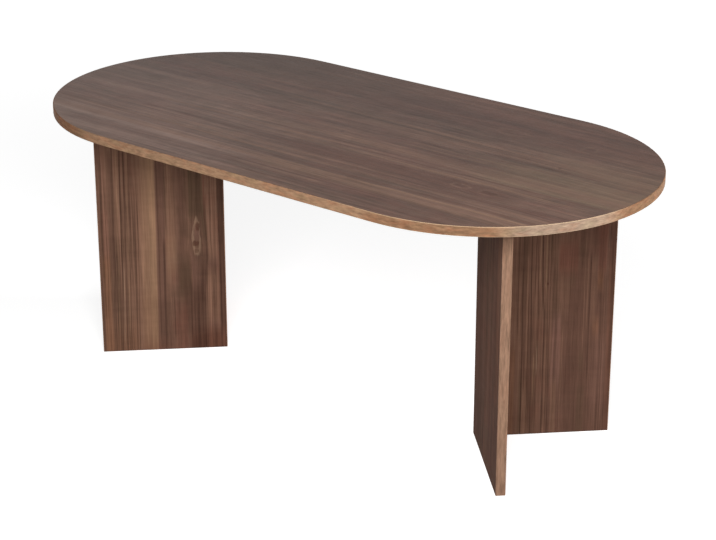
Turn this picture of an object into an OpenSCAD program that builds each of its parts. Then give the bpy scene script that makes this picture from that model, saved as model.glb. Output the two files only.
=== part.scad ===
// Dining table: a board top with round ends, carried by two V-shaped legs of flat boards.
// Origin: on the floor under the middle of the top. +X runs along the top, +Z is up.

/* [Tabletop] */
// Length of the top over its edge band
top_length = 1800; // [1600:10:2400]
// Width of the top over its edge band, which is also the diameter of its round ends
top_width = 900; // [800:10:1100]
// Thickness of the top
top_t = 25; // [22:1:40]

/* [Table] */
// Height of the top's upper face above the floor
table_height = 750; // [650:5:1100]
// How far each end of the top reaches past the leg under it
end_overhang = 194; // [120:1:300]

/* [Leg boards] */
// Width of each side of a leg's V, from its outer corner to its open end
leg_width = 355; // [300:5:420]
// Thickness of the leg boards
leg_t = 25; // [22:1:32]

/* [Edge bands] */
// Thickness of the band around the top and of the upright bands on the legs
band_t = 2; // [1:0.1:3]
// Rounding of a band's outer edges, limited by the band's thickness
band_rounding = 1.5; // [0.3:0.1:2.5]
// Thickness of the thin band under each leg board
bottom_band_t = 0.8; // [0.4:0.1:2]

/* [Cams] */
// Diameter of the turning cam
cam_d = 14.8; // [13:0.1:18]
// How far the cam reaches past the bolt's head, into the board
cam_past_head = 0.5; // [0.2:0.1:1.5]
// How far the cam's outer end lies under the board's face
cam_sunk = 0.5; // [0.2:0.1:1]
// Diameter of the chamber in the cam that grips the bolt's head
cam_chamber_d = 10.4; // [9.6:0.1:11]
// Distance from the joint to the cam's axis
cam_setback = 34; // [24:1:45]
// Length of each arm of the cross in the cam's outer end
cross_length = 8.4; // [6:0.1:10]
// Width of each arm of the cross
cross_width = 1.8; // [1:0.1:2.5]
// Depth of the cross
cross_depth = 3.5; // [2:0.1:5]

/* [Cam caps] */
// How far the cap over a cam reaches past the cam's hole
cap_rim = 1; // [0.6:0.1:2]
// Thickness of the cap outside the board
cap_t = 1.1; // [0.6:0.1:2]
// Chamfer around the cap
cap_chamfer = 0.5; // [0.2:0.1:0.6]

/* [Cam bolts] */
// Diameter of the bolt's shank
shank_d = 7; // [7:0.1:8]
// Diameter of the neck behind the bolt's head
neck_d = 4.4; // [3:0.1:5]
// Diameter of the bolt's head
head_d = 7; // [6:0.1:7]
// Length of the bolt's head at its full width
head_l = 2.4; // [1:0.1:3]
// Chamfer on the bolt's head
head_chamfer = 0.6; // [0.2:0.1:1]
// Length of the bolt's thread
thread_l = 11; // [8:0.5:14]
// Outer diameter of the bolt's thread
thread_d = 7; // [6:0.1:8]
// Diameter at the root of the thread
thread_root_d = 5; // [4:0.1:5.8]
// Distance from one ridge of the thread to the next, rounded to a whole number of ridges
thread_pitch = 2.7; // [1.5:0.1:3.5]

/* [Dowels] */
// Diameter of the wooden dowels
dowel_d = 8; // [6:0.1:10]
// Length of the wooden dowels
dowel_l = 35; // [30:1:40]
// How deep a dowel goes into the face of a board
dowel_in_face = 12; // [8:0.5:15]
// Chamfer on a dowel's ends
dowel_chamfer = 1; // [0.5:0.1:2]

/* [Places of the fittings] */
// From each cam under the top to the open end of its board, and to the inside of the corner
top_cam_margin = 45; // [35:1:60]
// From the lowest and highest cams of a corner to the lower and upper end of the leg
corner_cam_margin = 110; // [90:1:160]
// Cams in the corner of each leg
corner_cams = 3; // [2:1:5]
// From a cam under the top to the dowel beside it
dowel_step = 32; // [25:1:50]

/* [Clearances] */
// Gap all round a cam, a bolt or a cap's stem in its hole
fit_gap = 0.1; // [0.05:0.05:0.3]
// Gap all round a dowel in its hole
dowel_gap = 0.05; // [0.02:0.01:0.2]
// Gap between the end of a bolt, dowel or cap's stem and the bottom of its hole
end_gap = 0.5; // [0.2:0.1:1.5]
// Thickness of the glue between a band and its board
glue_line = 0.1; // [0.05:0.05:0.3]
// Gap between the two boards in a leg's corner
corner_gap = 0.1; // [0.05:0.05:0.3]

/* [Hidden] */

// Facets of a small circle and of the top's round ends, where they are drawn as facets
$fn = 48;
top_steps = 180;

// How far a cutting shape starts outside the face that it opens
cut_past = 1;

WALNUT = [0.42, 0.36, 0.34];
DARK_WALNUT = [0.35, 0.27, 0.22];
TAN_BAND = [0.68, 0.53, 0.41];
BROWN_PLASTIC = [0.32, 0.24, 0.19];
ZINC = [0.72, 0.72, 0.7];
BEECH = [0.85, 0.7, 0.5];

// The top
top_end_r = top_width / 2;
top_straight = top_length - top_width;
band_back_r = top_end_r - band_t;
board_end_r = band_back_r - glue_line;
leg_h = table_height - top_t;

// The band's rounding, which leaves a little of its side flat
band_flat = 0.2;
band_r = min(band_rounding, band_t - band_flat);

// The legs: two boards square to each other, so each is turned half a right angle from the top's length
leg_turn = 45;
leg_corner_x = top_length / 2 - end_overhang - (leg_width + leg_t) * cos(leg_turn);
mid_board = leg_t / 2;

// The boards of a leg without their bands: both end at the open end, the front one begins
// at the corner's band, and the rear one begins at the front one's inner face
board_end = leg_width - band_t - glue_line;
front_board_start = band_t + glue_line;
rear_board_start = leg_t + corner_gap;
board_bottom = bottom_band_t + glue_line;

// The cam, from its outer end to the end in the board, with the bolt's axis at mid board
cam_r = cam_d / 2;
cam_hole_r = cam_r + fit_gap;
cam_past_axis = head_d / 2 + cam_past_head;
cam_hole_depth = mid_board + cam_past_axis;
cam_h = cam_hole_depth - cam_sunk;
chamber_r = cam_chamber_d / 2;
chamber_h = cam_past_axis + head_d / 2 + cam_past_head;
neck_slot = neck_d + 2 * fit_gap;
cap_r = cam_hole_r + cap_rim;
stem_depth = cross_depth - end_gap;

// The bolt: the head's cone seats in the round chamber, so its ends lie on the chamber's circle
shank_end = cam_setback - cam_r - fit_gap;
head_start = cam_setback + fit_gap - sqrt(chamber_r ^ 2 - (neck_slot / 2) ^ 2);
head_full = cam_setback + fit_gap - sqrt(chamber_r ^ 2 - (head_d / 2) ^ 2);
thread_ridges = round(thread_l / thread_pitch);
ridge_step = thread_l / thread_ridges;

// Where the fittings sit: along a leg board under the top, and up the corner of a leg
top_cam_places = [leg_t + top_cam_margin, leg_width - top_cam_margin];
top_dowel_places = [top_cam_places[0] + dowel_step, top_cam_places[1] - dowel_step];
corner_step = (leg_h - 2 * corner_cam_margin) / (corner_cams - 1);
corner_cam_places = [for (i = [0 : corner_cams - 1]) corner_cam_margin + i * corner_step];
corner_dowel_places = [for (i = [0 : corner_cams - 2]) corner_cam_places[i] + corner_step / 2];

// Placement of the legs. In a leg's own frame +X runs along the front board's outer face
// from the corner, +Y runs into the V along the rear board's outer face, and +Z is up.

module at_right_leg() {
    translate([leg_corner_x, 0, 0]) rotate([0, 0, -leg_turn]) children();
}

module at_left_leg() {
    mirror([1, 0, 0]) at_right_leg() children();
}

// Placement of the fittings. In a fitting's frame the joint is at z = 0, +Z runs into the edge
// of the board that holds the cam, and +X points to that board's inner face.

module front_board_top(places) {
    for (place = places) translate([place, mid_board, leg_h]) rotate([180, 0, 90]) children();
}

module rear_board_top(places) {
    for (place = places) translate([mid_board, place, leg_h]) rotate([180, 0, 0]) children();
}

module leg_top(places) {
    front_board_top(places) children();
    rear_board_top(places) children();
}

module leg_corner(places) {
    for (place = places) translate([mid_board, leg_t, place]) rotate([-90, 0, 0]) children();
}

// In a cam's frame the board's inner face is at z = 0, the cam lies below it,
// and its bolt comes in from the side of +X.
module at_cam() {
    translate([mid_board, 0, cam_setback]) rotate([0, 90, 0]) children();
}

// Shapes that several pieces share

// The outline of a board with round ends
module round_ended(end_r) {
    square([top_straight, 2 * end_r], center = true);
    for (side = [-1, 1]) translate([side * top_straight / 2, 0]) circle(end_r, $fn = top_steps);
}

// Section of an edge band: its flat back lies on the Y axis, and its outer corners are rounded
module band_section(width) {
    intersection() {
        square([band_t, width]);
        union() {
            square([band_t - band_r, width]);
            translate([0, band_r]) square([band_t, width - 2 * band_r]);
            for (y = [band_r, width - band_r]) translate([band_t - band_r, y]) circle(band_r);
        }
    }
}

// An upright band, as tall as a leg
module upright_band() {
    color(TAN_BAND) linear_extrude(leg_h) band_section(leg_t);
}

module bottom_band(length, width) {
    color(DARK_WALNUT) cube([length, width, bottom_band_t]);
}

// The cross in a cam's end, or the stem of a cap
module cross(length, width, depth) {
    for (turn = [0, 90]) rotate([0, 0, turn]) {
        translate([-length / 2, -width / 2, -depth]) cube([length, width, depth]);
    }
}

// Holes for the fittings

// The bolt's bore and the cam's hole, in the board that holds the cam
module cam_holes() {
    translate([0, 0, -cut_past]) cylinder(r = shank_d / 2 + fit_gap, h = cam_setback + cut_past);
    at_cam() translate([0, 0, -cam_hole_depth]) {
        cylinder(r = cam_hole_r, h = cam_hole_depth + cut_past);
    }
}

module thread_hole() {
    depth = thread_l + end_gap;
    translate([0, 0, -depth]) cylinder(r = thread_d / 2 + fit_gap, h = depth + cut_past);
}

// The dowel's hole in the face of one board
module dowel_face_hole() {
    depth = dowel_in_face + end_gap;
    translate([0, 0, -depth]) cylinder(r = dowel_d / 2 + dowel_gap, h = depth + cut_past);
}

// The dowel's hole in the edge of the other board
module dowel_edge_hole() {
    depth = dowel_l - dowel_in_face + end_gap;
    translate([0, 0, -cut_past]) cylinder(r = dowel_d / 2 + dowel_gap, h = depth + cut_past);
}

// Fittings

// A cam: an open chamber grips the bolt's head, and a slot lets the bolt's neck in
module cam() {
    color(ZINC) difference() {
        translate([0, 0, -cam_hole_depth]) cylinder(r = cam_r, h = cam_h);
        translate([0, 0, -cam_hole_depth - cut_past]) cylinder(r = chamber_r, h = chamber_h + cut_past);
        translate([0, -neck_slot / 2, -cam_hole_depth - cut_past]) {
            cube([cam_d, neck_slot, cam_past_axis + neck_slot / 2 + cut_past]);
        }
        translate([0, 0, cut_past - cam_sunk]) cross(cross_length, cross_width, cross_depth + cut_past);
    }
}

// A cam bolt: its thread is drawn as ridges
module cam_bolt() {
    ridges = [
        for (i = [0 : thread_ridges - 1])
            each [
                [thread_root_d / 2, -thread_l + i * ridge_step],
                [thread_d / 2, -thread_l + (i + 0.5) * ridge_step]
            ]
    ];
    head_end = head_full + head_l;
    color(ZINC) rotate_extrude() polygon([
        [0, -thread_l],
        each ridges,
        [thread_root_d / 2, 0],
        [shank_d / 2, 0],
        [shank_d / 2, shank_end],
        [neck_d / 2, shank_end],
        [neck_d / 2, head_start],
        [head_d / 2, head_full],
        [head_d / 2, head_end - head_chamfer],
        [head_d / 2 - head_chamfer, head_end],
        [0, head_end]
    ]);
}

module dowel() {
    r = dowel_d / 2;
    in_edge = dowel_l - dowel_in_face;
    color(BEECH) rotate_extrude() polygon([
        [0, -dowel_in_face],
        [r - dowel_chamfer, -dowel_in_face],
        [r, dowel_chamfer - dowel_in_face],
        [r, in_edge - dowel_chamfer],
        [r - dowel_chamfer, in_edge],
        [0, in_edge]
    ]);
}

// A cap lies on the board's inner face over a cam, and its stem plugs into the cam's cross
module cam_cap() {
    color(BROWN_PLASTIC) {
        rotate_extrude() polygon([
            [0, 0],
            [cap_r, 0],
            [cap_r, cap_t - cap_chamfer],
            [cap_r - cap_chamfer, cap_t],
            [0, cap_t]
        ]);
        cross(cross_length - 2 * fit_gap, cross_width - 2 * fit_gap, cam_sunk + stem_depth);
    }
}

// Pieces of the top

module tabletop_board() {
    color(WALNUT) difference() {
        translate([0, 0, leg_h]) linear_extrude(top_t) round_ended(board_end_r);
        for (side = [0, 1]) mirror([side, 0, 0]) at_right_leg() {
            leg_top(top_cam_places) thread_hole();
            leg_top(top_dowel_places) dowel_face_hole();
        }
    }
}

// One band runs round the whole top: two straight stretches and two round ends
module tabletop_edge_band() {
    color(TAN_BAND) for (side = [0, 180]) rotate([0, 0, side]) translate([0, 0, leg_h]) {
        translate([top_straight / 2, 0, 0]) rotate([0, 0, -90]) {
            rotate_extrude(angle = 180, $fn = top_steps) {
                translate([band_back_r, 0]) band_section(top_t);
            }
        }
        translate([-top_straight / 2, band_back_r, 0]) rotate([90, 0, 90]) {
            linear_extrude(top_straight) band_section(top_t);
        }
    }
}

// Pieces of a leg, in the leg's own frame

module leg_front_panel() {
    color(DARK_WALNUT) difference() {
        translate([front_board_start, 0, board_bottom]) {
            cube([board_end - front_board_start, leg_t, leg_h - board_bottom]);
        }
        front_board_top(top_cam_places) cam_holes();
        front_board_top(top_dowel_places) dowel_edge_hole();
        leg_corner(corner_cam_places) thread_hole();
        leg_corner(corner_dowel_places) dowel_face_hole();
    }
}

module leg_rear_panel() {
    color(DARK_WALNUT) difference() {
        translate([0, rear_board_start, board_bottom]) {
            cube([leg_t, board_end - rear_board_start, leg_h - board_bottom]);
        }
        rear_board_top(top_cam_places) cam_holes();
        rear_board_top(top_dowel_places) dowel_edge_hole();
        leg_corner(corner_cam_places) cam_holes();
        leg_corner(corner_dowel_places) dowel_edge_hole();
    }
}

module leg_front_panel_end_band() {
    translate([leg_width - band_t, 0, 0]) upright_band();
}

module leg_front_panel_corner_band() {
    translate([band_t, 0, 0]) mirror([1, 0, 0]) upright_band();
}

module leg_rear_panel_end_band() {
    translate([leg_t, leg_width - band_t, 0]) rotate([0, 0, 90]) upright_band();
}

module leg_front_panel_bottom_band() {
    translate([front_board_start, 0, 0]) bottom_band(board_end - front_board_start, leg_t);
}

module leg_rear_panel_bottom_band() {
    translate([0, rear_board_start, 0]) bottom_band(leg_t, board_end - rear_board_start);
}

module leg_corner_cams() {
    leg_corner(corner_cam_places) at_cam() cam();
}

module leg_corner_cam_bolts() {
    leg_corner(corner_cam_places) cam_bolt();
}

module leg_corner_cam_caps() {
    leg_corner(corner_cam_places) at_cam() cam_cap();
}

module leg_corner_dowels() {
    leg_corner(corner_dowel_places) dowel();
}

module leg_top_cams() {
    leg_top(top_cam_places) at_cam() cam();
}

module leg_top_cam_bolts() {
    leg_top(top_cam_places) cam_bolt();
}

module leg_top_cam_caps() {
    leg_top(top_cam_places) at_cam() cam_cap();
}

module leg_top_dowels() {
    leg_top(top_dowel_places) dowel();
}

// The right leg

module right_leg_front_panel() {
    at_right_leg() leg_front_panel();
}

module right_leg_rear_panel() {
    at_right_leg() leg_rear_panel();
}

module right_leg_front_panel_end_band() {
    at_right_leg() leg_front_panel_end_band();
}

module right_leg_front_panel_corner_band() {
    at_right_leg() leg_front_panel_corner_band();
}

module right_leg_rear_panel_end_band() {
    at_right_leg() leg_rear_panel_end_band();
}

module right_leg_front_panel_bottom_band() {
    at_right_leg() leg_front_panel_bottom_band();
}

module right_leg_rear_panel_bottom_band() {
    at_right_leg() leg_rear_panel_bottom_band();
}

module right_leg_corner_cams() {
    at_right_leg() leg_corner_cams();
}

module right_leg_corner_cam_bolts() {
    at_right_leg() leg_corner_cam_bolts();
}

module right_leg_corner_cam_caps() {
    at_right_leg() leg_corner_cam_caps();
}

module right_leg_corner_dowels() {
    at_right_leg() leg_corner_dowels();
}

module right_leg_top_cams() {
    at_right_leg() leg_top_cams();
}

module right_leg_top_cam_bolts() {
    at_right_leg() leg_top_cam_bolts();
}

module right_leg_top_cam_caps() {
    at_right_leg() leg_top_cam_caps();
}

module right_leg_top_dowels() {
    at_right_leg() leg_top_dowels();
}

// The left leg, which mirrors the right one

module left_leg_front_panel() {
    at_left_leg() leg_front_panel();
}

module left_leg_rear_panel() {
    at_left_leg() leg_rear_panel();
}

module left_leg_front_panel_end_band() {
    at_left_leg() leg_front_panel_end_band();
}

module left_leg_front_panel_corner_band() {
    at_left_leg() leg_front_panel_corner_band();
}

module left_leg_rear_panel_end_band() {
    at_left_leg() leg_rear_panel_end_band();
}

module left_leg_front_panel_bottom_band() {
    at_left_leg() leg_front_panel_bottom_band();
}

module left_leg_rear_panel_bottom_band() {
    at_left_leg() leg_rear_panel_bottom_band();
}

module left_leg_corner_cams() {
    at_left_leg() leg_corner_cams();
}

module left_leg_corner_cam_bolts() {
    at_left_leg() leg_corner_cam_bolts();
}

module left_leg_corner_cam_caps() {
    at_left_leg() leg_corner_cam_caps();
}

module left_leg_corner_dowels() {
    at_left_leg() leg_corner_dowels();
}

module left_leg_top_cams() {
    at_left_leg() leg_top_cams();
}

module left_leg_top_cam_bolts() {
    at_left_leg() leg_top_cam_bolts();
}

module left_leg_top_cam_caps() {
    at_left_leg() leg_top_cam_caps();
}

module left_leg_top_dowels() {
    at_left_leg() leg_top_dowels();
}

tabletop_board();
tabletop_edge_band();
right_leg_front_panel();
right_leg_rear_panel();
right_leg_front_panel_end_band();
right_leg_front_panel_corner_band();
right_leg_rear_panel_end_band();
right_leg_front_panel_bottom_band();
right_leg_rear_panel_bottom_band();
right_leg_corner_cams();
right_leg_corner_cam_bolts();
right_leg_corner_cam_caps();
right_leg_corner_dowels();
right_leg_top_cams();
right_leg_top_cam_bolts();
right_leg_top_cam_caps();
right_leg_top_dowels();
left_leg_front_panel();
left_leg_rear_panel();
left_leg_front_panel_end_band();
left_leg_front_panel_corner_band();
left_leg_rear_panel_end_band();
left_leg_front_panel_bottom_band();
left_leg_rear_panel_bottom_band();
left_leg_corner_cams();
left_leg_corner_cam_bolts();
left_leg_corner_cam_caps();
left_leg_corner_dowels();
left_leg_top_cams();
left_leg_top_cam_bolts();
left_leg_top_cam_caps();
left_leg_top_dowels();
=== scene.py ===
"""A dining table with a round-ended walnut top on two V-shaped legs of flat boards.

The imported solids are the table. This script gives them their materials, a floor, soft light and a camera.
Lengths are in metres. +X runs along the top, +Z is up, and the origin is on the floor.
"""
import math
from collections import namedtuple

import bpy
from mathutils import Euler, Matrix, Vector

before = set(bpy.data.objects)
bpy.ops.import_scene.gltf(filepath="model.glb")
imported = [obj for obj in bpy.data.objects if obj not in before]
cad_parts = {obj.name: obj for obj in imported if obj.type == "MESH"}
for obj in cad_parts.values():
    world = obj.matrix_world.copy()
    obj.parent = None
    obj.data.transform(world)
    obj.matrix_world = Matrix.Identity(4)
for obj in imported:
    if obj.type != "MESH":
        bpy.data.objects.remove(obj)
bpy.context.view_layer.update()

# Sizes of the table, as the solids have them
TABLE_HEIGHT = 0.75
BOARD_T = 0.025
LEG_WIDTH = 0.355
LEG_CORNER_X = 0.4373

# How near to a board's face a point counts as being on it
ON_FACE = 0.0002

# The camera, solved from the edges of the table in the photograph
CAMERA_PLACE = (3.21608, -3.90585, 2.38598)
CAMERA_YAW = -39.0573
CAMERA_PITCH = 21.9274
CAMERA_ROLL = 0.0155
CAMERA_LENS = 101.72
CAMERA_REACH = 100
SENSOR_WIDTH = 36

# Light: a soft lamp in front of the table and a farther, lower one to its right. The sky gives SKY_LIGHT.
SKY_LIGHT = 0.15
LIGHT_AIM = (0, 0, 0.5)
Light = namedtuple("Light", "name azimuth elevation distance width height power")
LIGHTS = (
    Light("front_light", -60, 30, 3.5, 1.75, 1.15, 103),
    Light("right_light", 30, 10, 8.0, 4.0, 2.6, 620),
)

# The floor: half its width, its colour, and how much it glows where it is seen near the table. Between
# two distances from the table's middle the glow rises to plain white.
FLOOR_HALF = 30
FLOOR_COLOUR = (232, 232, 232)
FLOOR_GLOW = 0.66
FLOOR_PLAIN_FROM = 2.0
FLOOR_PLAIN_TO = 6.0
WHITE = (1, 1, 1, 1)


def srgb(red, green, blue):
    """A colour written as on a screen, 0 to 255, as Blender's linear one."""
    def linear(level):
        level = level / 255
        if level <= 0.04045:
            return level / 12.92
        return ((level + 0.055) / 1.055) ** 2.4
    return (linear(red), linear(green), linear(blue), 1)


# Colours of the walnut print
INK = srgb(60, 42, 34)
DEEP = srgb(76, 53, 43)
DARK = srgb(90, 64, 53)
MIDDLE = srgb(103, 75, 62)
LIGHT = srgb(120, 89, 72)
TAN = srgb(140, 108, 84)
PALE = srgb(152, 122, 100)
RED = srgb(104, 66, 54)
RUST = srgb(82, 53, 42)
OLIVE = srgb(82, 63, 49)
ORANGE = srgb(116, 80, 60)
PINK = srgb(118, 86, 75)
PLUM = srgb(95, 68, 57)
AMBER = srgb(130, 90, 66)
ROSE = srgb(130, 94, 78)
BROWN = srgb(90, 59, 47)
# A grey that stands for the top's sheen: painted sheen
SHEEN_GREY = srgb(150, 124, 112)
KHAKI = srgb(132, 110, 84)

# The print's tones, from its darkest to its palest, and those of the raw chipboard
WALNUT_TONES = ((0.0, DEEP), (0.3, DARK), (0.5, MIDDLE), (0.7, LIGHT), (1.0, TAN))
CHIPBOARD_TONES = ((0.2, srgb(120, 88, 58)), (0.5, srgb(176, 142, 102)), (0.8, srgb(205, 176, 136)))

# The chipboard's chips and specks: how many fit in a metre, the specks' detail, and each one's share of
# the tone
CHIPS = 420.0
SPECKS = 900.0
SPECK_DETAIL = 3.0
CHIP_SHARE = 0.5
SPECK_SHARE = 0.6

# A layer of the grain's noise: its turns in each metre across and along the grain, where its noise starts,
# how strong it is and how much detail it has
Layer = namedtuple("Layer", "across along start strength detail", defaults=(1.0, 2.0))
WIDE_TONE = Layer(8.0, 1.0, 0.0, 0.35)
BANDED_TONE = Layer(30.0, 1.7, 3.1, 0.4)
FINE_TONE = Layer(100.0, 3.5, 5.7, 0.36, 3.0)
LINED_PARTS = Layer(11.0, 1.4, 12.9)
THIN_LINES = Layer(170.0, 1.8, 15.2)
FIBRE = (Layer(260.0, 9.0, 21.3, 1.0, 3.0), Layer(700.0, 30.0, 24.1, 0.4))
FIGURE = (Layer(14.0, 75.0, 31.7, 0.5), Layer(9.0, 24.0, 35.2, 0.7))
HUE = (Layer(14.0, 2.0, 27.5, 0.7), Layer(24.0, 16.0, 39.4, 0.6))

# Noise stays near its middle, and this swing brings a layer to about -1 to 1. Then come the values of a
# layer between which the banded tone steps up, a part becomes lined, and a dark or a pale line appears.
LAYER_SWING = 3.0
BANDED_STEP = (-0.35, 0.35)
LINED = (-0.4, 0.4)
DARK_LINE = (-0.15, -0.6)
PALE_LINE = (0.25, 0.7)

# How much the thin lines and the tone change the print's brightness
DARK_LINE_DEPTH = 0.26
PALE_LINE_LIFT = 0.24
TONE_LIFT = 0.15

# The grain's sway, first slow and then quick: its turns in each metre across and along the grain, and its
# share of the board's sway
Sway = namedtuple("Sway", "across along share")
SWAYS = (Sway(3.0, 1.6, 1.0), Sway(24.0, 8.0, 0.2))

# A board's print: where its noise starts, how far its grain sways, its mean tone, how strong its tones,
# lines, fibre, cross figure and hues are, and its roughness and specular level
Look = namedtuple("Look", "seed sway mean contrast lines fibre figure hue roughness specular")
TOP_LOOK = Look(
    seed=1.7, sway=0.006, mean=0.48, contrast=0.25, lines=0.58, fibre=0.14, figure=0.05, hue=0.45,
    roughness=0.3, specular=0.03)
LEG_LOOK = Look(
    seed=4.2, sway=0.004, mean=0.46, contrast=0.14, lines=0.9, fibre=0.1, figure=0.06, hue=0.35,
    roughness=0.8, specular=0.04)
# The right leg's front board faces away from the lamps, and its darker mean tone is painted shade
RIGHT_FRONT_SHADED_LOOK = LEG_LOOK._replace(seed=31.6, mean=0.34, contrast=0.12, lines=0.7)
RIGHT_REAR_LOOK = LEG_LOOK._replace(seed=14.9, mean=0.42, lines=0.75)
LEFT_FRONT_LOOK = LEG_LOOK._replace(mean=0.56)
LEFT_REAR_LOOK = LEG_LOOK._replace(seed=23.1)

# On a board's far side its noise starts so much farther on
FAR_SIDE_SEED = 7.3

# How far the print's roughness swings with its fibre, and how strong and deep the surface's bumps are
ROUGHNESS_SWING = 0.05
BUMP_STRENGTH = 0.1
BUMP_DEPTH = 0.0002

# A streak of the print: its two sides and how soft they are, its ends along the board (None: it runs the
# whole length), its tint and strength, and how far it leans sideways in each metre
Streak = namedtuple("Streak", "low high soft start end tint amount lean", defaults=(0.0,))

# How softly a streak ends along the board: at least so far, and so many times as softly as its sides.
# How far its strength swings, as the grain's tone goes so far from 0.
STREAK_FADE = 0.025
STREAK_FADE_TIMES = 5
STREAK_SWING = 0.2
STREAK_SWING_TONE = 0.6

# A knot of the print: its middle, its half width and half length, how hard it pushes the grain aside,
# and how strong its pale ring and dark heart are
Knot = namedtuple("Knot", "place along half_width half_length pull ring heart")

# A knot's outline: how much narrower it is at its far end, how uneven it is, and the scale of the noise
# that makes it so, which is finer across. How fast its push on the grain fades away from it.
KNOT_TAPER = 0.3
KNOT_UNEVEN = 0.7
KNOT_NOISE = 1.6
KNOT_NOISE_ACROSS = 1.3
KNOT_PUSH_FADE = -0.35

# Between which distances from a knot's middle, in its half sizes, its ring comes in and goes out again,
# and its heart begins and is full
RING_COMES = (0.62, 0.9)
RING_GOES = (1.22, 1.0)
HEART_COMES = (0.9, 0.5)

# Colours of the tan band, and what its warmer and cooler places are multiplied by. The dark and deep ones
# are painted shade and the pale one a painted highlight on stretches of the top's band; the rim one is a
# painted highlight on its round edges.
BAND_COLOUR = srgb(149, 117, 92)
# The legs' band is darker than the top's: painted shade under the table's top
LEG_BAND_SHADED_COLOUR = srgb(136, 106, 87)
BAND_DARK_SHADE = srgb(129, 96, 72)
BAND_PALE_HIGHLIGHT = srgb(150, 128, 110)
BAND_DEEP_SHADE = srgb(122, 78, 51)
BAND_RIM_HIGHLIGHT = srgb(214, 184, 152)
BAND_WARMER = (1.07, 0.96, 0.92, 1)
BAND_COOLER = (0.98, 1.02, 0.98, 1)

# A stretch of the top's band with painted shade or a painted highlight: the bearings of its two ends from
# the table's middle, in degrees, how soft they are, and its tint and strength. Both ends and the start of
# the right end's curve get painted shade, the front right a painted highlight.
Stretch = namedtuple("Stretch", "start end soft tint amount")
BAND_SHADE_AND_HIGHLIGHT = (
    Stretch(-184, -141, 4, BAND_DEEP_SHADE, 0.6),
    Stretch(141, 184, 4, BAND_DEEP_SHADE, 0.6),
    Stretch(-46, -25, 2, BAND_DARK_SHADE, 0.75),
    Stretch(-23, -6, 3, BAND_PALE_HIGHLIGHT, 0.9),
    Stretch(-4, 46, 2, BAND_DARK_SHADE, 0.75),
)

# A tan band: how much finer its print is along each axis, its colour, how far its hue turns from place to
# place, its stretches of painted shade and highlight, and whether its painted rim highlight shows at the
# table's front right only
Band = namedtuple("Band", "name finer colour hue_turn stretches rim_front_right")
TOP_BAND = Band("tan_top_band", (1.0, 1.0, 3.5), BAND_COLOUR, 1.0, BAND_SHADE_AND_HIGHLIGHT, True)
LEG_BAND = Band("tan_leg_band", (4.0, 4.0, 0.5), LEG_BAND_SHADED_COLOUR, 0.3, (), False)

# The band's mottle, lines and patches of hue: the scale of each one's noise, its detail and its strength
BandNoise = namedtuple("BandNoise", "scale detail strength")
BAND_MOTTLE = BandNoise(40.0, 3.0, 0.6)
BAND_LINES = BandNoise(110.0, 3.0, 0.4)
BAND_HUES = BandNoise(26.0, 2.0, 1.0)

# Between which values of the hue noise the band turns warmer, and between which it turns cooler
TURNS_WARMER = (0.5, 0.68)
TURNS_COOLER = (0.5, 0.32)

# The band's roughness where the noise of its lines is low and where it is high, and its specular level
BAND_LINES_RANGE = (0.2, 0.8)
BAND_ROUGHNESS = (0.5, 0.4)
BAND_SPECULAR = 0.01

# The painted rim highlight lies on a band's round edges, where its surface leans up or down. Between the
# first two slopes the highlight comes in, between the other two it goes out again, and this is its strength.
RIM_SLOPE_COMES = (0.1, 0.4)
RIM_SLOPE_GOES = (1.0, 0.92)
RIM_HIGHLIGHT_STRENGTH = 0.65

# The front right, where the top's band shows its painted rim highlight: it comes in between two places
# along the table, and between two bearings from the table's middle, in degrees
RIM_ALONG = (0.15, 0.6)
RIM_BEARINGS = (0, -10)

# A small part's material: the two tones of its mottle, how fine it is, its roughness and how metallic it is
Finish = namedtuple("Finish", "name dark light scale roughness metallic", defaults=(0.0,))
DARK_BAND = Finish("dark_band", srgb(70, 52, 44), srgb(84, 63, 53), 60.0, 0.5)
CAP_PLASTIC = Finish("cap_plastic", srgb(78, 58, 48), srgb(88, 66, 55), 300.0, 0.45)
CAM_ZINC = Finish("cam_zinc", srgb(165, 165, 162), srgb(190, 190, 187), 700.0, 0.45, 1.0)
BOLT_STEEL = Finish("bolt_steel", srgb(175, 176, 178), srgb(205, 206, 208), 500.0, 0.3, 1.0)
DOWEL_BEECH = Finish("dowel_beech", srgb(205, 168, 122), srgb(225, 192, 148), 350.0, 0.6)

# The mottle's detail, where its noise has the dark and the light tone, between which values of the noise
# the roughness goes from its least to its most, and how far that is from its middle
FINISH_DETAIL = 3.0
FINISH_DARK_AT = 0.3
FINISH_LIGHT_AT = 0.7
FINISH_RANGE = (0.2, 0.8)
FINISH_SWING = 0.06


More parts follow.
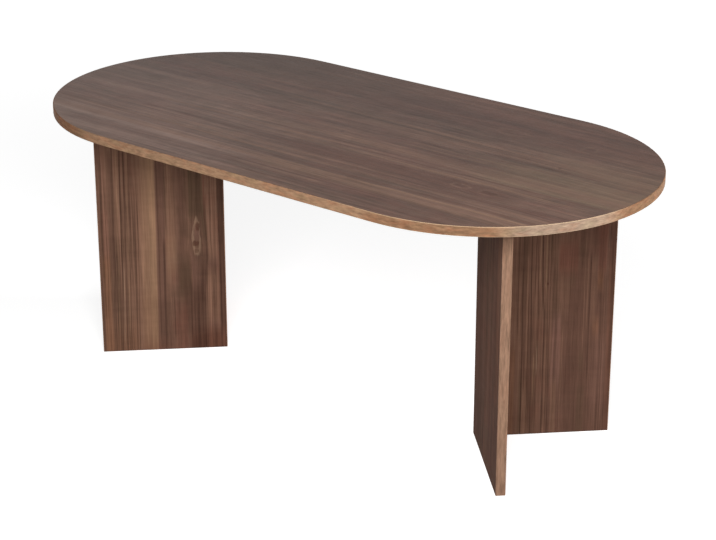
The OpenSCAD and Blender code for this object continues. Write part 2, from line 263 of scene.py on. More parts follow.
class Nodes:
    """Adds nodes to a node tree. An input is given as a number, a colour or another node's output."""

    def __init__(self, tree):
        self.tree = tree

    def add(self, kind, inputs=None, **settings):
        node = self.tree.nodes.new(kind)
        for name, value in settings.items():
            setattr(node, name, value)
        for name, value in (inputs or {}).items():
            self.feed(node.inputs[name], value)
        return node

    def feed(self, socket, value):
        if isinstance(value, bpy.types.NodeSocket):
            self.tree.links.new(value, socket)
        else:
            socket.default_value = value

    def maths(self, operation, *values, clamp=False):
        node = self.add("ShaderNodeMath", operation=operation, use_clamp=clamp)
        for socket, value in zip(node.inputs, values):
            self.feed(socket, value)
        return node.outputs[0]

    def dot(self, vector, direction):
        node = self.add("ShaderNodeVectorMath", operation="DOT_PRODUCT")
        self.feed(node.inputs[0], vector)
        self.feed(node.inputs[1], direction)
        return node.outputs["Value"]

    def vector(self, x, y, z):
        return self.add("ShaderNodeCombineXYZ", {"X": x, "Y": y, "Z": z}).outputs[0]

    def noise(self, vector, scale=1.0, detail=2.0):
        node = self.add("ShaderNodeTexNoise", {
            "Vector": vector, "Scale": scale, "Detail": detail})
        return node.outputs[0]

    def ease(self, value, low, high, to_low=0.0, to_high=1.0):
        """Goes smoothly from to_low to to_high as the value goes from low to high."""
        node = self.add("ShaderNodeMapRange", {
            "Value": value, "From Min": low, "From Max": high, "To Min": to_low, "To Max": to_high,
        }, interpolation_type="SMOOTHSTEP")
        return node.outputs[0]

    def remap(self, value, low, high, to_low=0.0, to_high=1.0):
        """Goes evenly from to_low to to_high as the value goes from low to high."""
        node = self.add("ShaderNodeMapRange", {
            "Value": value, "From Min": low, "From Max": high, "To Min": to_low, "To Max": to_high})
        return node.outputs[0]

    def swing(self, noise, reach):
        """A noise of 0 to 1 as one of -reach to reach."""
        return self.remap(noise, 0, 1, -reach, reach)

    def mix(self, amount, first, second, blend="MIX"):
        node = self.add("ShaderNodeMix", data_type="RGBA", blend_type=blend, clamp_result=False)
        self.feed(node.inputs[0], amount)
        self.feed(node.inputs[6], first)
        self.feed(node.inputs[7], second)
        return node.outputs[2]

    def times(self, colour, factor):
        """A colour multiplied by another one."""
        return self.mix(1.0, colour, factor, "MULTIPLY")

    def brighten(self, colour, level):
        """A colour multiplied by a level."""
        return self.times(colour, self.vector(level, level, level))

    def ramp(self, value, stops):
        node = self.add("ShaderNodeValToRGB", {"Fac": value})
        elements = node.color_ramp.elements
        while len(elements) < len(stops):
            elements.new(0.5)
        for element, (position, colour) in zip(elements, stops):
            element.position = position
            element.color = colour
        return node.outputs[0]

    def bump(self, shader, height):
        """Raises a shader's surface a little by a height."""
        bump = self.add("ShaderNodeBump", {
            "Height": height, "Strength": BUMP_STRENGTH, "Distance": BUMP_DEPTH})
        self.feed(shader.inputs["Normal"], bump.outputs[0])

    def group(self, tree, inputs):
        node = self.add("ShaderNodeGroup", node_tree=tree)
        for name, value in inputs.items():
            self.feed(node.inputs[name], value)
        return node.outputs


def new_group(name, inputs, outputs):
    """An empty node group with number inputs and outputs."""
    tree = bpy.data.node_groups.new(name, "ShaderNodeTree")
    for label in inputs:
        tree.interface.new_socket(label, in_out="INPUT", socket_type="NodeSocketFloat")
    for label in outputs:
        tree.interface.new_socket(label, in_out="OUTPUT", socket_type="NodeSocketFloat")
    made = Nodes(tree)
    return tree, made, made.add("NodeGroupInput").outputs, made.add("NodeGroupOutput").inputs


def streak_amount(made, across, along, streak):
    """How much of a streak there is at a place: 1 on it, 0 away from it."""
    start = streak.start or 0.0
    if streak.lean:
        leant = made.maths("MULTIPLY_ADD", along, -streak.lean, start * streak.lean)
        across = made.maths("ADD", across, leant)
    amount = made.maths(
        "MULTIPLY", made.ease(across, streak.low - streak.soft, streak.low + streak.soft),
        made.ease(across, streak.high + streak.soft, streak.high - streak.soft))
    fade = max(STREAK_FADE, STREAK_FADE_TIMES * streak.soft)
    if streak.start is not None:
        begun = made.ease(along, streak.start - fade, streak.start + fade)
        amount = made.maths("MULTIPLY", amount, begun)
    if streak.end is not None:
        ended = made.ease(along, streak.end + fade, streak.end - fade)
        amount = made.maths("MULTIPLY", amount, ended)
    return amount


def knot_group():
    """Pushes the grain aside round a knot, and says how much of the knot's ring and heart there is."""
    tree, made, given, result = new_group(
        "knot", ("across", "along", "place", "middle", "half_width", "half_length", "pull"),
        ("across", "ring", "heart"))
    aside = made.maths("SUBTRACT", given["across"], given["place"])
    ahead = made.maths("SUBTRACT", given["along"], given["middle"])
    wide = made.maths("DIVIDE", aside, given["half_width"])
    long = made.maths("DIVIDE", ahead, given["half_length"])
    place = made.vector(made.maths("MULTIPLY", wide, KNOT_NOISE_ACROSS), long, given["place"])
    wide = made.maths("ADD", wide, made.swing(made.noise(place, KNOT_NOISE), KNOT_UNEVEN))
    wide = made.maths("MULTIPLY", wide, made.remap(long, -1, 1, 1 - KNOT_TAPER, 1 + KNOT_TAPER))
    reach = made.maths("ADD", made.maths("MULTIPLY", wide, wide), made.maths("MULTIPLY", long, long))
    near = made.maths("EXPONENT", made.maths("MULTIPLY", reach, KNOT_PUSH_FADE))
    kept = made.maths("SUBTRACT", 1.0, made.maths("MULTIPLY", given["pull"], near))
    made.feed(result["across"], made.maths("ADD", given["place"], made.maths("MULTIPLY", aside, kept)))
    distance = made.maths("SQRT", reach)
    ring = made.maths("MULTIPLY", made.ease(distance, *RING_COMES), made.ease(distance, *RING_GOES))
    made.feed(result["ring"], ring)
    made.feed(result["heart"], made.ease(distance, *HEART_COMES))
    return tree


def grain_group():
    """The grain itself: its tone around 0, its thin dark and pale lines, its fibre and its turn of hue."""
    tree, made, given, result = new_group(
        "grain", ("across", "along", "seed"), ("tone", "dark_lines", "pale_lines", "fibre", "figure", "hue"))

    def noise(layer):
        """A layer's noise, from about -1 to 1."""
        place = made.vector(
            made.maths("MULTIPLY", given["across"], layer.across),
            made.maths("MULTIPLY", given["along"], layer.along),
            made.maths("ADD", given["seed"], layer.start))
        return made.swing(made.noise(place, 1.0, layer.detail), LAYER_SWING)

    def total(layers, values):
        """The values, each as strong as its layer, added up."""
        added = 0.0
        for layer, value in zip(layers, values):
            added = made.maths("MULTIPLY_ADD", value, layer.strength, added)
        return added

    banded = made.ease(noise(BANDED_TONE), *BANDED_STEP, -0.5, 0.5)
    made.feed(result["tone"], total(
        (WIDE_TONE, BANDED_TONE, FINE_TONE), (noise(WIDE_TONE), banded, noise(FINE_TONE))))
    lined = made.ease(noise(LINED_PARTS), *LINED)
    thin = noise(THIN_LINES)
    made.feed(result["dark_lines"], made.maths("MULTIPLY", made.ease(thin, *DARK_LINE), lined))
    made.feed(result["pale_lines"], made.maths("MULTIPLY", made.ease(thin, *PALE_LINE), lined))
    for name, layers in (("fibre", FIBRE), ("figure", FIGURE), ("hue", HUE)):
        made.feed(result[name], total(layers, [noise(layer) for layer in layers]))
    return tree


KNOT_GROUP = knot_group()
GRAIN_GROUP = grain_group()


def new_material(name):
    """A material with a Principled shader, and what adds more nodes to it."""
    material = bpy.data.materials.new(name)
    material.use_nodes = True
    tree = material.node_tree
    tree.nodes.clear()
    made = Nodes(tree)
    shader = made.add("ShaderNodeBsdfPrincipled")
    output = made.add("ShaderNodeOutputMaterial")
    made.feed(output.inputs["Surface"], shader.outputs[0])
    return material, made, shader


def chipboard_colour(made, position):
    """The raw board between its two printed faces: pale chips with some darker ones."""
    chips = made.add("ShaderNodeTexVoronoi", {"Vector": position, "Scale": CHIPS}).outputs["Distance"]
    specks = made.noise(position, SPECKS, SPECK_DETAIL)
    tone = made.maths(
        "ADD", made.maths("MULTIPLY", chips, CHIP_SHARE), made.maths("MULTIPLY", specks, SPECK_SHARE))
    return made.ramp(tone, CHIPBOARD_TONES)


def grain_flow(made, over, way, seed, sway):
    """The place across the grain, once the grain's own sway is counted in."""
    flow = over
    for part in SWAYS:
        across = made.maths("MULTIPLY", over, part.across)
        along = made.maths("MULTIPLY", way, part.along)
        noise = made.noise(made.vector(across, along, seed))
        flow = made.maths("ADD", flow, made.swing(noise, sway * part.share))
    return flow


def grain_colour(made, grain, look):
    """The colour of the print without its named streaks."""
    tone = made.maths("MULTIPLY_ADD", grain["tone"], look.contrast, look.mean)
    colour = made.ramp(tone, WALNUT_TONES)
    colour = made.mix(made.ease(grain["hue"], 0.0, 1.0, 0.0, look.hue), colour, RED)
    return made.mix(made.ease(grain["hue"], 0.0, -1.0, 0.0, look.hue), colour, OLIVE)


def add_streaks(made, colour, grain, flow, way, near_side, streaks):
    """The named streaks over the print, on the board's near side, each a little uneven along its length."""
    swing = made.remap(
        grain["tone"], -STREAK_SWING_TONE, STREAK_SWING_TONE, 1 - STREAK_SWING, 1 + STREAK_SWING)
    uneven = made.maths("MULTIPLY", swing, near_side)
    for streak in streaks:
        amount = made.maths("MULTIPLY", streak_amount(made, flow, way, streak), uneven)
        amount = made.maths("MULTIPLY", amount, streak.amount, clamp=True)
        colour = made.mix(amount, colour, streak.tint)
    return colour


def add_knots(made, colour, near_side, knots, around):
    """Each knot's pale ring and dark heart, on the board's near side."""
    for knot, found in zip(knots, around):
        ring = made.maths("MULTIPLY", found["ring"], made.maths("MULTIPLY", near_side, knot.ring))
        heart = made.maths("MULTIPLY", found["heart"], made.maths("MULTIPLY", near_side, knot.heart))
        colour = made.mix(ring, colour, PALE)
        colour = made.mix(heart, colour, RUST)
    return colour


def add_fine_grain(made, colour, grain, look):
    """The thin lines, the fibre and the cross figure, as small changes of brightness."""
    level = made.maths("MULTIPLY_ADD", grain["dark_lines"], -DARK_LINE_DEPTH * look.lines, 1.0)
    level = made.maths("MULTIPLY_ADD", grain["pale_lines"], PALE_LINE_LIFT * look.lines, level)
    level = made.maths("MULTIPLY_ADD", grain["fibre"], look.fibre, level)
    level = made.maths("MULTIPLY_ADD", grain["figure"], look.figure, level)
    level = made.maths("MULTIPLY_ADD", grain["tone"], TONE_LIFT, level)
    return made.brighten(colour, level)


def walnut(name, across, along, depth, look, streaks=(), knots=()):
    """Melamine with a walnut print. across, along and depth are each a direction and what is added."""
    material, made, shader = new_material(name)
    position = made.add("ShaderNodeTexCoord").outputs["Object"]
    over = made.maths("ADD", made.dot(position, across[0]), across[1])
    way = made.maths("ADD", made.dot(position, along[0]), along[1])
    deep = made.maths("ADD", made.dot(position, depth[0]), depth[1])
    far_side = made.maths("GREATER_THAN", deep, BOARD_T / 2)
    near_side = made.maths("SUBTRACT", 1.0, far_side)
    seed = made.maths("MULTIPLY_ADD", far_side, FAR_SIDE_SEED, look.seed)

    flow = grain_flow(made, over, way, seed, look.sway)
    around = []
    for knot in knots:
        found = made.group(KNOT_GROUP, {
            "across": flow, "along": way, "place": knot.place, "middle": knot.along,
            "half_width": knot.half_width, "half_length": knot.half_length, "pull": knot.pull})
        flow = found["across"]
        around.append(found)
    grain = made.group(GRAIN_GROUP, {"across": flow, "along": way, "seed": seed})
    colour = grain_colour(made, grain, look)
    colour = add_streaks(made, colour, grain, flow, way, near_side, streaks)
    colour = add_knots(made, colour, near_side, knots, around)
    colour = add_fine_grain(made, colour, grain, look)

    off_middle = made.maths("ABSOLUTE", made.maths("SUBTRACT", deep, BOARD_T / 2))
    on_face = made.maths("GREATER_THAN", off_middle, BOARD_T / 2 - ON_FACE)
    colour = made.mix(on_face, chipboard_colour(made, position), colour)
    made.feed(shader.inputs["Base Color"], colour)
    made.feed(shader.inputs["Roughness"], made.remap(
        grain["fibre"], -1, 1, look.roughness + ROUGHNESS_SWING, look.roughness - ROUGHNESS_SWING))
    made.bump(shader, made.maths("SUBTRACT", grain["fibre"], grain["dark_lines"]))
    shader.inputs["Specular IOR Level"].default_value = look.specular
    return material


def stretch_amount(made, bearing, stretch):
    """How much of a stretch of the band there is at a bearing."""
    begun = made.ease(bearing, stretch.start - stretch.soft, stretch.start + stretch.soft)
    ended = made.ease(bearing, stretch.end + stretch.soft, stretch.end - stretch.soft)
    return made.maths("MULTIPLY", made.maths("MULTIPLY", begun, ended), stretch.amount)


def add_band_print(made, colour, mottle, lines, hue, hue_turn):
    """The band's mottle and lines as changes of brightness, and its warmer and cooler patches."""
    level = made.maths("MULTIPLY_ADD", made.swing(mottle, 1), BAND_MOTTLE.strength, 1.0)
    level = made.maths("MULTIPLY_ADD", made.swing(lines, 1), BAND_LINES.strength, level)
    colour = made.brighten(colour, level)
    turn = BAND_HUES.strength * hue_turn
    colour = made.mix(made.ease(hue, *TURNS_WARMER, 0.0, turn), colour, made.times(colour, BAND_WARMER))
    return made.mix(made.ease(hue, *TURNS_COOLER, 0.0, turn), colour, made.times(colour, BAND_COOLER))


def rim_highlight_amount(made, along, bearing, front_right):
    """How much of the painted rim highlight there is: on all the band's round edges, or only at the front
    right.
    """
    normal = made.add("ShaderNodeNewGeometry").outputs["Normal"]
    slope = made.maths("ABSOLUTE", made.dot(normal, (0, 0, 1)))
    amount = made.maths("MULTIPLY", made.ease(slope, *RIM_SLOPE_COMES), made.ease(slope, *RIM_SLOPE_GOES))
    if front_right:
        amount = made.maths("MULTIPLY", amount, made.ease(along, *RIM_ALONG))
        amount = made.maths("MULTIPLY", amount, made.ease(bearing, *RIM_BEARINGS))
    return made.maths("MULTIPLY", amount, RIM_HIGHLIGHT_STRENGTH)


def tan_band(band):
    """A tan plastic band: a wood tone with fine lines along it, and a painted highlight on its round edges.
    """
    material, made, shader = new_material(band.name)
    position = made.add("ShaderNodeTexCoord").outputs["Object"]
    along = made.dot(position, (1, 0, 0))
    turn = made.maths("ARCTAN2", made.dot(position, (0, 1, 0)), along)
    bearing = made.maths("MULTIPLY", turn, math.degrees(1))
    colour = band.colour
    # Painted shade and a painted highlight, stretch by stretch along the top's band
    for stretch in band.stretches:
        colour = made.mix(stretch_amount(made, bearing, stretch), colour, stretch.tint)

    drawn = made.add("ShaderNodeMapping", {"Vector": position, "Scale": band.finer}).outputs[0]
    mottle = made.noise(drawn, BAND_MOTTLE.scale, BAND_MOTTLE.detail)
    lines = made.noise(drawn, BAND_LINES.scale, BAND_LINES.detail)
    hue = made.noise(drawn, BAND_HUES.scale, BAND_HUES.detail)
    colour = add_band_print(made, colour, mottle, lines, hue, band.hue_turn)
    # Painted highlight on the band's round edges
    colour = made.mix(rim_highlight_amount(made, along, bearing, band.rim_front_right), colour, BAND_RIM_HIGHLIGHT)
    made.feed(shader.inputs["Base Color"], colour)
    made.feed(shader.inputs["Roughness"], made.remap(lines, *BAND_LINES_RANGE, *BAND_ROUGHNESS))
    made.bump(shader, lines)
    shader.inputs["Specular IOR Level"].default_value = BAND_SPECULAR
    return material


def plain(finish):
    """A small part's material: one colour with a fine mottle."""
    material, made, shader = new_material(finish.name)
    position = made.add("ShaderNodeTexCoord").outputs["Object"]
    mottle = made.noise(position, finish.scale, FINISH_DETAIL)
    tones = ((FINISH_DARK_AT, finish.dark), (FINISH_LIGHT_AT, finish.light))
    made.feed(shader.inputs["Base Color"], made.ramp(mottle, tones))
    made.feed(shader.inputs["Roughness"], made.remap(
        mottle, *FINISH_RANGE, finish.roughness - FINISH_SWING, finish.roughness + FINISH_SWING))
    shader.inputs["Metallic"].default_value = finish.metallic
    return material


def dress(node, material):
    """Gives a solid its material, in every slot."""
    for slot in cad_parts[node].material_slots:
        slot.material = material


# The top's streaks and knots: across from the middle of the table, with the far side positive, and along
# from the middle
TOP_STREAKS = (
    # Broad changes of tone
    Streak(0.240, 0.460, 0.040, None, -0.42, OLIVE, 0.6),
    Streak(0.250, 0.460, 0.040, None, 0.05, OLIVE, 0.35),
    # Broad changes of tone; the grey ones are painted sheen, most of them over the left half
    Streak(0.250, 0.460, 0.040, 0.00, None, RED, 0.38),
    Streak(-0.500, 0.210, 0.050, None, None, SHEEN_GREY, 0.05),
    Streak(-0.090, 0.080, 0.040, -0.50, 0.30, ROSE, 0.15),
    Streak(-0.250, -0.080, 0.040, None, -0.17, SHEEN_GREY, 0.16),
    Streak(-0.250, -0.140, 0.020, 0.05, 0.55, BROWN, 0.6),
    Streak(0.190, 0.345, 0.030, None, 0.45, BROWN, 0.3),
    Streak(0.340, 0.460, 0.030, None, 0.05, BROWN, 0.3),
    Streak(0.200, 0.330, 0.025, 0.52, None, BROWN, 0.25),
    Streak(-0.130, 0.090, 0.050, None, -0.30, SHEEN_GREY, 0.2),
    Streak(-0.440, -0.270, 0.030, None, -0.05, SHEEN_GREY, 0.38),
    Streak(-0.345, -0.292, 0.012, None, -0.20, SHEEN_GREY, 0.3),
    Streak(-0.100, 0.040, 0.020, 0.50, None, KHAKI, 0.35),
    Streak(0.040, 0.170, 0.030, 0.58, None, KHAKI, 0.3),
    Streak(0.100, 0.250, 0.050, 0.45, None, LIGHT, 0.2),
    # Stripes and lines, most of them from the far side to the near one
    Streak(-0.345, -0.292, 0.006, 0.00, None, TAN, 0.35),
    Streak(0.285, 0.322, 0.008, -0.10, 0.45, DEEP, 0.45),
    Streak(0.127, 0.138, 0.004, -0.30, 0.60, LIGHT, 0.7, -0.02),
    Streak(0.111, 0.120, 0.003, -0.30, 0.62, DEEP, 0.6, -0.012),
    Streak(0.076, 0.108, 0.006, 0.0, 0.64, LIGHT, 0.44),
    Streak(0.064, 0.071, 0.004, 0.40, 0.75, BROWN, 1.0),
    Streak(0.030, 0.037, 0.003, 0.02, 0.66, BROWN, 0.47, 0.01),
    Streak(0.016, 0.032, 0.006, -0.30, -0.21, DEEP, 0.6),
    Streak(0.014, 0.030, 0.006, -0.08, 0.0, DEEP, 0.6),
    Streak(0.018, 0.024, 0.002, 0.20, 0.60, TAN, 0.4),
    Streak(0.010, 0.016, 0.002, 0.25, 0.50, BROWN, 0.42),
    Streak(-0.005, 0.002, 0.002, 0.20, 0.46, TAN, 0.35),
    Streak(-0.023, -0.015, 0.003, 0.15, 0.72, BROWN, 0.47),
    Streak(-0.072, -0.034, 0.012, 0.0, 0.95, LIGHT, 0.68),
    Streak(-0.090, -0.082, 0.003, -0.20, 0.45, BROWN, 0.6),
    Streak(-0.108, -0.099, 0.003, -0.55, 0.05, LIGHT, 0.77),
    Streak(-0.114, -0.105, 0.003, 0.05, 0.88, BROWN, 0.7, 0.012),
    Streak(-0.136, -0.121, 0.004, -0.10, 0.72, LIGHT, 0.75, 0.01),
    Streak(-0.200, -0.145, 0.012, -0.06, 0.66, BROWN, 0.72),
    Streak(-0.176, -0.166, 0.004, -0.56, 0.0, BROWN, 0.65),
    Streak(-0.222, -0.208, 0.005, -0.35, 0.35, LIGHT, 0.36),
    Streak(-0.256, -0.244, 0.004, None, None, LIGHT, 0.6),
    Streak(-0.284, -0.272, 0.003, -0.10, None, BROWN, 0.65),
    Streak(-0.279, -0.268, 0.004, None, -0.10, BROWN, 0.25),
    Streak(-0.320, -0.290, 0.005, None, None, LIGHT, 0.6),
    Streak(-0.330, -0.292, 0.007, 0.38, 0.82, PINK, 0.28),
    Streak(-0.385, -0.345, 0.010, -0.65, 0.0, BROWN, 0.4),
    Streak(-0.358, -0.351, 0.002, -0.10, 0.42, BROWN, 0.59),
    Streak(-0.369, -0.362, 0.002, -0.04, 0.22, TAN, 0.35),
    Streak(-0.382, -0.374, 0.003, -0.10, 0.66, BROWN, 0.53),
    Streak(-0.410, -0.401, 0.003, -0.12, 0.66, BROWN, 0.47),
    Streak(-0.138, -0.128, 0.003, 0.30, 0.84, TAN, 0.3, 0.01),
    Streak(-0.345, -0.333, 0.003, -0.05, 0.75, BROWN, 0.4),
    Streak(-0.300, -0.293, 0.002, 0.30, None, TAN, 0.5),
    Streak(-0.240, -0.225, 0.004, 0.48, 0.80, BROWN, 0.6, 0.05),
    Streak(-0.215, -0.205, 0.003, 0.52, 0.70, LIGHT, 0.5, 0.04),
    Streak(0.280, 0.292, 0.005, -0.25, 0.25, BROWN, 0.4),
    Streak(0.215, 0.232, 0.006, -0.05, 0.35, BROWN, 0.35),
    Streak(0.150, 0.158, 0.003, -0.28, 0.20, LIGHT, 0.4),
    # Painted sheen: a thin grey veil over the whole top
    Streak(-0.500, 0.500, 0.020, None, None, SHEEN_GREY, 0.055),
)

TOP_KNOTS = (
    Knot(-0.170, 0.505, 0.012, 0.028, 0.6, 0.2, 0.3),
    Knot(-0.172, 0.590, 0.014, 0.030, 0.7, 0.10, 0.5),
    Knot(-0.022, 0.012, 0.012, 0.008, 0.3, 0.0, 0.6),
    Knot(0.085, 0.62, 0.01, 0.007, 0.3, 0.0, 0.6),
    Knot(0.255, 0.60, 0.022, 0.022, 0.7, 0.12, 0.15),
    Knot(0.250, 0.37, 0.022, 0.05, 0.7, 0.1, 0.0),
)

# The left leg's front board: across from its open end, and along from the floor
LEFT_FRONT_STREAKS = (
    # Broad changes of tone
    Streak(0.010, 0.125, 0.015, None, 0.17, DEEP, 0.1),
    Streak(0.225, 0.345, 0.015, None, 0.30, RUST, 0.14),
    Streak(0.012, 0.112, 0.010, None, None, LIGHT, 0.45, 0.01),
    Streak(0.225, 0.300, 0.020, None, 0.22, DARK, 0.6),
    # Stripes and lines, most of them from the open end to the corner
    Streak(-0.010, 0.009, 0.002, None, None, DARK, 0.6),
    Streak(0.011, 0.028, 0.003, 0.27, 0.43, RED, 0.4),
    Streak(0.013, 0.030, 0.005, 0.28, None, ROSE, 0.5),
    Streak(0.009, 0.029, 0.005, None, 0.29, AMBER, 0.5),
    Streak(0.031, 0.042, 0.003, 0.24, 0.60, DARK, 0.6, 0.012),
    Streak(0.020, 0.110, 0.012, None, 0.08, ORANGE, 0.45),
    Streak(0.0365, 0.0405, 0.0015, None, None, INK, 0.55, 0.015),
    Streak(0.0455, 0.0495, 0.0015, 0.05, None, TAN, 0.38, 0.022),
    Streak(0.0530, 0.0555, 0.001, 0.05, None, LIGHT, 0.45, 0.021),
    Streak(0.0550, 0.0590, 0.0015, None, None, INK, 0.6, 0.02),
    Streak(0.0615, 0.0640, 0.001, 0.03, 0.26, PALE, 0.56, 0.02),
    Streak(0.0705, 0.0725, 0.001, 0.30, None, LIGHT, 0.38, 0.01),
    Streak(0.0675, 0.0715, 0.0015, None, None, INK, 0.52, 0.0165),
    Streak(0.0745, 0.0785, 0.0015, 0.05, None, TAN, 0.38, 0.02),
    Streak(0.0865, 0.0900, 0.0015, 0.25, None, DEEP, 0.68, 0.02),
    Streak(0.0790, 0.0815, 0.001, None, 0.25, DEEP, 0.6, 0.017),
    Streak(0.0960, 0.0990, 0.0015, None, 0.50, DEEP, 0.6, 0.017),
    Streak(0.1020, 0.1555, 0.004, None, None, LIGHT, 0.8, 0.012),
    Streak(0.1030, 0.1060, 0.0015, None, 0.45, DEEP, 0.52, 0.017),
    Streak(0.1180, 0.1555, 0.012, None, None, TAN, 0.45, 0.012),
    Streak(0.1380, 0.1555, 0.003, None, None, TAN, 0.65, 0.012),
    Streak(0.1580, 0.1820, 0.002, None, None, PLUM, 0.75, 0.012),
    Streak(0.1640, 0.1670, 0.0015, None, None, INK, 0.45, 0.006),
    Streak(0.1885, 0.1915, 0.0015, 0.36, None, INK, 0.38),
    Streak(0.1760, 0.1815, 0.002, None, 0.33, INK, 0.56, 0.01),
    Streak(0.1925, 0.2140, 0.003, 0.34, 0.56, LIGHT, 0.7),
    Streak(0.1930, 0.1975, 0.002, None, None, LIGHT, 0.52, 0.006),
    Streak(0.1880, 0.2180, 0.004, 0.235, 0.345, TAN, 0.3),
    Streak(0.2045, 0.2075, 0.001, 0.03, 0.17, INK, 0.68),
    Streak(0.2180, 0.2520, 0.006, 0.30, None, PLUM, 0.2),
    Streak(0.2220, 0.2580, 0.009, 0.165, 0.275, OLIVE, 0.95),
    Streak(0.2560, 0.2960, 0.004, 0.40, None, OLIVE, 0.8),
    Streak(0.2880, 0.3020, 0.004, 0.33, 0.44, OLIVE, 0.8),
    Streak(0.2960, 0.3000, 0.0015, 0.38, 0.60, RED, 0.45),
    Streak(0.2630, 0.2850, 0.004, 0.185, 0.295, PINK, 0.2),
    Streak(0.2620, 0.2650, 0.0015, 0.18, 0.30, LIGHT, 0.45),
    Streak(0.2770, 0.2950, 0.005, 0.14, 0.19, DEEP, 0.6),
    Streak(0.2680, 0.2810, 0.003, 0.340, 0.358, PINK, 0.9),
    Streak(0.2520, 0.3020, 0.008, None, 0.06, RUST, 1.0),
    Streak(0.3000, 0.3350, 0.004, 0.24, 0.275, PLUM, 0.8),
    Streak(0.3075, 0.3330, 0.005, 0.28, 0.52, LIGHT, 0.48),
    Streak(0.2980, 0.3360, 0.006, 0.06, 0.235, LIGHT, 0.38),
    Streak(0.3370, 0.3700, 0.002, None, None, DEEP, 0.95),
    # More of them, over those above
    Streak(0.236, 0.290, 0.010, 0.06, 0.19, DEEP, 0.7),
    Streak(0.305, 0.340, 0.005, 0.060, 0.078, PINK, 0.5),
    Streak(0.305, 0.345, 0.005, 0.020, 0.030, PINK, 0.4),
    Streak(0.112, 0.205, 0.010, None, 0.008, RED, 0.7),
    Streak(0.262, 0.265, 0.001, 0.18, 0.29, PINK, 0.5),
    Streak(0.285, 0.288, 0.001, 0.18, 0.28, DEEP, 0.5),
    Streak(0.118, 0.160, 0.006, None, 0.17, ORANGE, 0.15),
    Streak(0.183, 0.206, 0.004, None, 0.20, DARK, 0.4),
    Streak(0.208, 0.242, 0.006, None, 0.135, RED, 0.4),
    Streak(0.300, 0.352, 0.008, None, 0.060, BROWN, 0.95),
    Streak(0.286, 0.300, 0.003, 0.20, 0.40, DEEP, 0.35),
    Streak(0.0420, 0.0440, 0.001, None, 0.30, DEEP, 0.5, 0.02),
    Streak(0.0510, 0.0530, 0.001, None, 0.26, DEEP, 0.5, 0.02),
    Streak(0.0840, 0.0855, 0.001, 0.10, None, LIGHT, 0.5, 0.02),
    Streak(0.0920, 0.0940, 0.001, None, None, LIGHT, 0.4, 0.018),
    Streak(0.0325, 0.0345, 0.001, None, 0.22, INK, 0.45, 0.02),
    Streak(0.0225, 0.0245, 0.001, None, 0.16, DEEP, 0.4, 0.01),
    Streak(0.224, 0.256, 0.008, 0.17, 0.265, DEEP, 0.4),
    Streak(0.255, 0.300, 0.008, None, 0.05, INK, 0.3),
)

LEFT_FRONT_KNOTS = (
    Knot(0.275, 0.344, 0.0108, 0.053, 0.7, 0.5, 0.0),
    Knot(0.277, 0.374, 0.005, 0.019, 0.1, 0.0, 0.75),
    Knot(0.273, 0.323, 0.0075, 0.012, 0.1, 0.0, 0.75),
    Knot(0.274, 0.300, 0.0055, 0.009, 0.1, 0.0, 0.5),
)

# The right leg's front board: across from its corner, and along from the floor
RIGHT_FRONT_STREAKS = (
    # Painted shade: the board is darker near the floor
    Streak(-0.020, 0.130, 0.020, None, 0.17, INK, 0.22),
    Streak(0.225, 0.380, 0.020, None, 0.17, INK, 0.14),
    Streak(0.000, 0.110, 0.020, None, None, DEEP, 0.4),
    Streak(0.225, 0.360, 0.030, None, None, DEEP, 0.25),
    Streak(0.130, 0.225, 0.020, None, None, KHAKI, 0.06),
    Streak(0.060, 0.085, 0.005, 0.20, 0.38, RUST, 0.5),
    Streak(0.300, 0.335, 0.005, 0.22, None, AMBER, 0.12),
)

